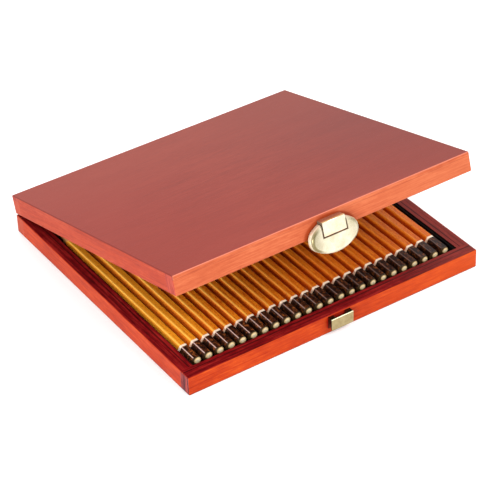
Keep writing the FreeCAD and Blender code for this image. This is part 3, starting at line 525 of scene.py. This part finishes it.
def pencil_lacquer():
    """Ochre lacquer over fine-grained wood, a dipped cap with a gold end, and a bare cut cone, with
    painted light and shade along the row and between pencils, and painted highlights on the left
    upper arris and the gold end.
    """
    m = Material("pencil_lacquer")
    x, y, z = m.parts(m.place)
    steps = m.math("DIVIDE", m.minus(x, FIRST_PENCIL_X_MM), PENCIL_PITCH_MM)
    number = m.math("ROUND", steps)
    across = m.times(m.minus(steps, number), PENCIL_PITCH_MM)
    above = m.minus(z, PENCIL_AXIS_Z_MM)
    radius = m.distance(across, above)
    shaded_row = m.step(number, *SHADED_ROW)

    shift = m.times(m.chance(number), OWN_SHIFT)
    streaks = m.noise(m.place, 1.3, (1, 14, 1), detail=4, roughness=0.6, shift=shift)
    specks = m.noise(m.place, 2.4, (1, 3.2, 1), detail=3, roughness=0.7, shift=shift)
    level = m.math("MULTIPLY_ADD", streaks, 0.5, m.times(specks, 0.5))
    colour = m.ramp(level, *zip((0.38, 0.5, 0.62), LACQUER))
    # painted light on the first pencils and painted shade on the later ones
    colour = m.tinted(colour, LACQUER_LIT, m.step(number, *LIT_ROW), LIT_ROW_DEPTH)
    colour = m.tinted(colour, LACQUER_SHADED, shaded_row, SHADED_ROW_DEPTH)
    flecks = m.noise(m.place, 1.3, (1, 2.2, 1), detail=2, roughness=0.8, shift=shift)
    colour = m.tinted(colour, LACQUER_FLECK, m.step(flecks, 0.54, 0.66), FLECK_DEPTH)
    low = m.times(m.step(above, *SHADED_MM), m.scaled(m.step(number, *FIRST), *SHADE_DEPTH))
    colour = m.mix(low, colour, LACQUER_SHADE)
    # painted highlight on the left upper arris
    corner = m.times(m.step(across, *LEFT_SIDE_MM), m.step(above, *TOP_MM))
    arris_highlight = m.times(m.step(radius, *EDGE_MM), corner)
    colour = m.tinted(colour, LACQUER_HIGHLIGHT, arris_highlight, m.scaled(shaded_row, *HIGHLIGHT_DEPTH))

    blotches = m.noise(m.place, 0.6, (1, 1.6, 1), detail=4, roughness=0.75, shift=shift)
    cap = m.ramp(blotches, *zip((0.42, 0.54, 0.68), CAP))
    # painted shade on the caps, between pencils and along the row
    cap = m.mix(m.math("MAXIMUM", low, m.times(shaded_row, CAP_SHADED_ROW_DEPTH)), cap, CAP_SHADE)
    arris_highlight = m.times(m.step(radius, *CAP_EDGE_MM), corner)
    cap = m.tinted(cap, CAP_HIGHLIGHT, arris_highlight, m.scaled(shaded_row, *CAP_HIGHLIGHT_DEPTH))
    wavering = m.math("MULTIPLY_ADD", m.noise(m.place, 0.4, shift=shift), WAVER_MM, y)
    begin, full = DIP_SOFT_MM
    in_ring = m.step(wavering, RING_END_MM + begin, RING_END_MM + full)
    in_cap = m.step(wavering, CAP_END_MM + begin, CAP_END_MM + full)
    colour = m.mix(in_cap, m.mix(in_ring, colour, RING), cap)
    in_gold = m.step(wavering, GOLD_END_MM + GOLD_SOFT_MM, GOLD_END_MM)
    # painted highlight on the gold end, fading into painted shade
    beside = m.math("DIVIDE", m.minus(across, GOLD_HIGHLIGHT_MM[0]), GOLD_HIGHLIGHT_WIDTH)
    off_highlight = m.distance(beside, m.minus(above, GOLD_HIGHLIGHT_MM[1]))
    off_highlight = m.math("MULTIPLY_ADD", shaded_row, GOLD_SHADED_ROW_MM, off_highlight)
    off_highlight = m.math("DIVIDE", off_highlight, GOLD_HIGHLIGHT_REACH_MM)
    colour = m.mix(in_gold, colour, m.ramp(off_highlight, *GOLD_HIGHLIGHT_AND_SHADE))

    cone_radius = m.math("MULTIPLY_ADD", m.minus(TIP_Y_MM, y), POINT_SLOPE, TIP_RADIUS_MM)
    beyond = m.minus(radius, cone_radius)
    bare = m.times(m.step(beyond, *CUT_MM), m.step(y, *POINT_MM))
    cut = m.noise(m.place, 1.6, (1, 10, 1), detail=4, shift=shift)
    colour = m.mix(bare, colour, m.ramp(cut, *zip((0.35, 0.5, 0.65), CEDAR)))

    roughness = m.math("MULTIPLY_ADD", bare, 0.4, m.scaled(specks, 0.3, 0.45))
    ridge = m.math("ADD", in_cap, in_gold)
    m.bump((streaks, 0.02), (specks, 0.01), (ridge, 0.04), (cut, 0.02))
    return m.finish(colour, roughness, m.times(in_gold, 0.1), Specular_IOR_Level=LACQUER_GLOSS)


def graphite():
    m = Material("graphite")
    grit = m.noise(m.place, 6.0, (1, 3, 1), detail=3)
    m.bump((grit, 0.01))
    return m.finish(m.ramp(grit, *GRAPHITE), m.scaled(grit, 0.3, 0.5), metallic=0.25)


def tray_plastic():
    m = Material("tray_black")
    grit = m.noise(m.place, 3.0, detail=3)
    clouds = m.noise(m.place, 0.08, detail=2)
    m.bump((grit, 0.02))
    roughness = m.scaled(grit, 0.6, 0.75)
    return m.finish(m.ramp(clouds, *TRAY), roughness, Specular_IOR_Level=0.15)


def dress_pencils():
    lacquer = pencil_lacquer()
    for number in range(1, PENCIL_COUNT + 1):
        dress(f"pencil_{number:02d}", lacquer)
    dress("pencil_cores", graphite())
    dress("pencil_tray", tray_plastic())


# ---- brass ----

LATCH_X_MM, OVAL_Z_MM = 0.8, 12.95  # middle of the tongue, and of the oval
HALF_TONGUE_MM = 8.6
TONGUE_FOOT_MM = 14.9
OVAL_END_REFLECTIONS = (-1, 0.95), (1, 0.65)  # side, depth of the painted dark reflection
OVAL_END_REFLECTIONS_MM = 7, 15  # from the middle, over which the painted reflection begins
ARM_SIDE_MM = 0.8, 0.4  # past the tongue's side, over which the arm begins
TOP_REFLECTION_DEPTH = 0.3, 0.9  # of the painted reflection and shadow on top, beside the arm and on it
ARM_FRONT_MM = -114.8, -113.8  # along Y, from the painted reflection of the wood to the painted shadow behind it
GROOVE_MM = 0.2, 1.1  # past the tongue's outline, where shade is painted
GROOVE_SOFT_MM = 0.3
GROOVE_SHADE_DEPTH = 0.85
GROOVE_TOP_MM = OVAL_Z_MM + 10, OVAL_Z_MM + 8  # over which it ends
CHEEK_MM = 0.4, 0.2  # past the tongue's side, over which its cheeks begin
KEEPER_FRONT_MM = -112.8, -113.2  # along Y, over which the front face begins
KEEPER_LEG_MM = -112.2, -111.6  # along Y, from the tabs to the leg on the wood

BRIGHT_BRASS = tone(208, 197, 166), tone(233, 223, 198)
# painted dark reflection inside the oval's ends
END_REFLECTION_TONE = tone(116, 104, 66)
# painted reflection of the wood, then painted shadow behind it
WOOD_REFLECTION_TONE = tone(178, 124, 66)
ARM_SHADOW_TONE = tone(142, 62, 32)
# painted shade round the tongue
GROOVE_SHADE_TONE = tone(70, 40, 18)
KEEPER_TONES = tone(156, 138, 96), tone(176, 160, 118)
# painted highlight on the upper bend
KEEPER_BEND_HIGHLIGHT = tone(232, 226, 190)
KEEPER_TAB = tone(58, 42, 18)
# painted shadow on the leg on the wood
KEEPER_LEG_SHADOW = tone(96, 30, 14)
DULL_BRASS = tone(196, 178, 126), tone(222, 206, 156)


def sheet(m, tones, rubbing_and_highlight, stains_per_mm=0.16):
    """Colour of slightly stained sheet, and the fine lines of its rubbing as a height."""
    lines = m.noise(m.place, 5.0, rubbing_and_highlight, detail=3)
    stains = m.noise(m.place, stains_per_mm, detail=4, roughness=0.65)
    m.bump((lines, 0.004))
    return m.ramp(stains, *zip((0.35, 0.65), tones)), lines


def hinge_brass():
    m = Material("hinge_brass")
    colour, lines = sheet(m, DULL_BRASS, (9, 1, 1))
    return m.finish(colour, m.scaled(lines, 0.26, 0.42), metallic=1.0)


def latch_brass():
    """Bright sheet, with painted dark reflections inside the oval's ends, a painted reflection of
    the wood over the arm with painted shadow behind it, and painted shade by the tongue.
    """
    m = Material("latch_brass", on_lid=True)
    x, y, z = m.parts(m.place)
    normal_x, normal_y, normal_z = m.parts(m.normal)
    colour, lines = sheet(m, BRIGHT_BRASS, (1, 1, 9))

    across = m.minus(x, LATCH_X_MM)
    turned = m.within(m.absolute(normal_y), 0.4, 0.99, 0.2)
    # painted dark reflections inside the oval's ends
    for side, depth in OVAL_END_REFLECTIONS:
        end = m.step(m.times(across, side), *OVAL_END_REFLECTIONS_MM)
        colour = m.tinted(colour, END_REFLECTION_TONE, m.times(turned, end), depth)

    past_side = m.minus(m.absolute(across), HALF_TONGUE_MM)
    # painted reflection of the wood on top of the arm, and painted shadow behind it
    over_arm = m.scaled(m.step(past_side, *ARM_SIDE_MM), *TOP_REFLECTION_DEPTH)
    lying = m.times(m.step(normal_z, 0.5, 0.85), over_arm)
    reflection_and_shadow = m.mix(m.step(y, *ARM_FRONT_MM), WOOD_REFLECTION_TONE, ARM_SHADOW_TONE)
    colour = m.mix(lying, colour, reflection_and_shadow)
    # painted shade round the tongue and on the arm's cheeks
    past_tongue = m.math("MAXIMUM", past_side, m.minus(TONGUE_FOOT_MM, z))
    groove = m.within(past_tongue, *GROOVE_MM, GROOVE_SOFT_MM)
    groove = m.times(groove, m.step(z, *GROOVE_TOP_MM))
    sideways = m.step(m.absolute(normal_x), 0.5, 0.85)
    cheek = m.times(sideways, m.step(past_side, *CHEEK_MM))
    colour = m.tinted(colour, GROOVE_SHADE_TONE, m.math("MAXIMUM", groove, cheek), GROOVE_SHADE_DEPTH)
    facing = m.step(m.absolute(normal_y), 0.55, 0.9)
    return m.finish(colour, m.scaled(lines, 0.2, 0.34), m.scaled(facing, 0.15, 1.0))


def keeper_brass():
    """Dull sheet, with a painted highlight on its upper bend, dark tabs behind and painted shadow
    on the leg on the wood.
    """
    m = Material("keeper_brass")
    _, y, _ = m.parts(m.place)
    _, normal_y, normal_z = m.parts(m.normal)
    colour, lines = sheet(m, KEEPER_TONES, (9, 1, 1), stains_per_mm=0.3)
    in_front = m.times(m.step(normal_y, -0.3, -0.6), m.step(y, *KEEPER_FRONT_MM))
    # dark tabs, and painted shadow on the leg on the wood
    back = m.mix(m.step(y, *KEEPER_LEG_MM), KEEPER_TAB, KEEPER_LEG_SHADOW)
    colour = m.mix(in_front, back, colour)
    # painted highlight on the upper bend
    bend_highlight = m.times(m.step(normal_y, -0.2, -0.4), m.step(normal_z, 0.2, 0.45))
    colour = m.mix(bend_highlight, colour, KEEPER_BEND_HIGHLIGHT)
    return m.finish(colour, m.scaled(lines, 0.4, 0.55), metallic=0.9)


def dress_brass():
    bright, dull, plain = latch_brass(), keeper_brass(), hinge_brass()
    for node in ("latch_plate", "latch_bracket", "latch_bracket_screws", "latch_pin"):
        dress(node, bright)
    for node in ("catch_plate", "catch_nails"):
        dress(node, dull)
    for side in ("left", "right"):
        for part in ("base_hinge_leaf", "lid_hinge_leaf", "hinge_pin"):
            dress(f"{part}_{side}", plain)
    for node in ("base_hinge_screws", "lid_hinge_screws"):
        dress(node, plain)


# ---- metal edges ----

SHEET_METAL = "latch_plate", "catch_plate", "latch_bracket"
EDGE_ROUND_MM = 0.12
EDGE_ANGLE = math.radians(40)  # from which a fold in the mesh is an edge
WELD_MM = 0.002


def soften(node):
    """Rounds the edges of a sheet-metal node, which catch the light."""
    part = frame["nodes"][node]
    weld = part.modifiers.new("weld", "WELD")
    weld.merge_threshold = WELD_MM * MM
    bevel = part.modifiers.new("edges", "BEVEL")
    bevel.width = EDGE_ROUND_MM * MM
    bevel.segments = 2
    bevel.limit_method = "ANGLE"
    bevel.angle_limit = EDGE_ANGLE
    bevel.harden_normals = False


# ---- foam pad ----

PAD_HALF_X_MM, PAD_HALF_Y_MM = 104.2, 100.2
PAD_SOFT_MM = 2.4  # rounding of the cut edges
PAD_DENT_MM = 0.35  # marks that the pencils press into it
PAD_DENT_ENDS_MM = -95, 62  # along Y
PAD_SINK_MM = 0.5  # how far the edges sink back from the middle
PAD_LEAST_MM = 3  # thickness that is left at the corners
PAD_STEPS_X, PAD_STEPS_Y = 288, 60
PAD_EDGE_STEPS = 6  # across the rounding
FOAM = (0.2, tone(10, 10, 11)), (0.8, tone(34, 33, 34))


def pad_height(x, y):
    """How far the pad's face lies above its lowest plane, at a place on the closed lid, in mm."""
    rise = 0.0
    for distance in (PAD_HALF_X_MM - abs(x), PAD_HALF_Y_MM - abs(y)):
        short = max(0.0, PAD_SOFT_MM - distance) / PAD_SOFT_MM
        rise += PAD_SOFT_MM * (1 - math.sqrt(max(0.0, 1 - short * short)))
    rise += PAD_SINK_MM * ((x / PAD_HALF_X_MM) ** 4 + (y / PAD_HALF_Y_MM) ** 4) / 2
    phase = (x - FIRST_PENCIL_X_MM) / PENCIL_PITCH_MM
    front, back = PAD_DENT_ENDS_MM
    if -0.5 < phase < PENCIL_COUNT - 0.5 and front < y < back:
        rise += PAD_DENT_MM * (0.5 + 0.5 * math.cos(2 * math.pi * phase))
    return min(rise, PANEL_BOTTOM_MM - PAD_BOTTOM_MM - PAD_LEAST_MM)


def spaced(half, steps):
    """Places across the pad, closer together at its edges."""
    quarter = math.pi / 2 / PAD_EDGE_STEPS
    edges = [half - PAD_SOFT_MM * (1 - math.cos(quarter * k)) for k in range(PAD_EDGE_STEPS + 1)]
    inner = [edges[-1] * (2 * k / steps - 1) for k in range(1, steps)]
    return sorted({round(v, 6) for v in [*edges, *(-e for e in edges), *inner]})


def foam_pad():
    """One closed sheet of foam: a dented face, four cut sides and a flat back."""
    made = bmesh.new()
    xs, ys = spaced(PAD_HALF_X_MM, PAD_STEPS_X), spaced(PAD_HALF_Y_MM, PAD_STEPS_Y)
    last_i, last_j = len(xs) - 1, len(ys) - 1
    face, back = {}, {}
    for i, x in enumerate(xs):
        for j, y in enumerate(ys):
            z = PAD_BOTTOM_MM + pad_height(x, y)
            face[i, j] = made.verts.new(AS_OPENED @ (Vector((x, y, z)) * MM))
            if i in (0, last_i) or j in (0, last_j):
                back[i, j] = made.verts.new(AS_OPENED @ (Vector((x, y, PANEL_BOTTOM_MM)) * MM))
    for i in range(last_i):
        for j in range(last_j):
            made.faces.new((face[i, j], face[i, j + 1], face[i + 1, j + 1], face[i + 1, j]))
    rim = [(i, 0) for i in range(last_i)] + [(last_i, j) for j in range(last_j)]
    rim += [(i, last_j) for i in range(last_i, 0, -1)] + [(0, j) for j in range(last_j, 0, -1)]
    for a, b in zip(rim, rim[1:] + rim[:1]):
        made.faces.new((face[a], face[b], back[b], back[a]))
    made.faces.new([back[k] for k in rim])
    bmesh.ops.recalc_face_normals(made, faces=made.faces)
    mesh = bpy.data.meshes.new("foam_pad")
    made.to_mesh(mesh)
    made.free()
    mesh.shade_smooth()
    pad = bpy.data.objects.new("foam_pad", mesh)
    bpy.context.scene.collection.objects.link(pad)
    mesh.materials.append(foam())
    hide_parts("lid_foam_pad")
    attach(pad, "lid")


def foam():
    """Soft black foam with open cells."""
    m = Material("foam", on_lid=True)
    pits = m.step(m.noise(m.place, 2.2, detail=2, roughness=0.6), 0.42, 0.6)
    clouds = m.noise(m.place, 0.06, detail=3)
    light = m.math("MULTIPLY_ADD", clouds, 0.5, m.times(pits, 0.5))
    m.bump((pits, 0.12), (clouds, 0.2))
    soft = {"Specular_IOR_Level": 0.2, "Sheen_Weight": 0.04, "Sheen_Roughness": 0.6}
    return m.finish(m.ramp(light, *FOAM), roughness=0.95, **soft)


# ---- studio ----

CAMERA_PLACE = Vector((-0.6286, -0.9920, 0.8521))
CAMERA_TARGET = Vector((0.00274, -0.00424, 0.0))
CAMERA_ROLL = math.radians(-2.334)
CAMERA_LENS = 153.52
CAMERA_SENSOR = 36
CAMERA_REACH = 20
LIGHTS = (  # name, place and width in metres, watts
    ("key", (0.6, -1.0, 1.1), 0.5, 7),
    ("fill", (-1.2, -0.9, 0.35), 0.6, 13),
)
ROOM_LIGHT = 1.3
FLOOR_SIZE = 8
FLOOR_GLOW = 0.08  # keeps the paper near white beside the case
PAPER = (0.3, tone(252, 252, 252)), (0.7, tone(255, 255, 255))


def camera():
    data = bpy.data.cameras.new("camera")
    data.lens = CAMERA_LENS
    data.sensor_width = CAMERA_SENSOR
    data.clip_end = CAMERA_REACH
    made = bpy.data.objects.new("camera", data)
    bpy.context.scene.collection.objects.link(made)
    aim = (CAMERA_TARGET - CAMERA_PLACE).to_track_quat("-Z", "Y").to_matrix()
    turn = (aim @ Matrix.Rotation(CAMERA_ROLL, 3, "Z")).to_4x4()
    made.matrix_world = Matrix.Translation(CAMERA_PLACE) @ turn
    bpy.context.scene.camera = made


def soft_light(name, place, width, power):
    """A round area light that faces the case."""
    data = bpy.data.lights.new(name, "AREA")
    data.shape = "DISK"
    data.size = width
    data.energy = power
    made = bpy.data.objects.new(name, data)
    made.location = place
    made.rotation_euler = (-Vector(place)).to_track_quat("-Z", "Y").to_euler()
    bpy.context.scene.collection.objects.link(made)


def floor():
    bpy.ops.mesh.primitive_plane_add(size=FLOOR_SIZE)
    made = bpy.context.object
    made.name = "floor"
    m = Material("floor_paper")
    colour = m.ramp(m.noise(m.place, 0.5, detail=3), *PAPER)
    made.data.materials.append(m.finish(colour, roughness=0.9, Emission_Strength=FLOOR_GLOW))


def studio():
    camera()
    floor()
    world = bpy.data.worlds.new("studio")
    world.use_nodes = True
    background = world.node_tree.nodes["Background"]
    background.inputs["Color"].default_value = (1, 1, 1, 1)
    background.inputs["Strength"].default_value = ROOM_LIGHT
    bpy.context.scene.world = world
    for light in LIGHTS:
        soft_light(*light)
    bpy.context.scene.view_settings.view_transform = "Standard"


studio()
dress_wood()
dress_pencils()
dress_brass()
foam_pad()
for sheet_metal in SHEET_METAL:
    soften(sheet_metal)
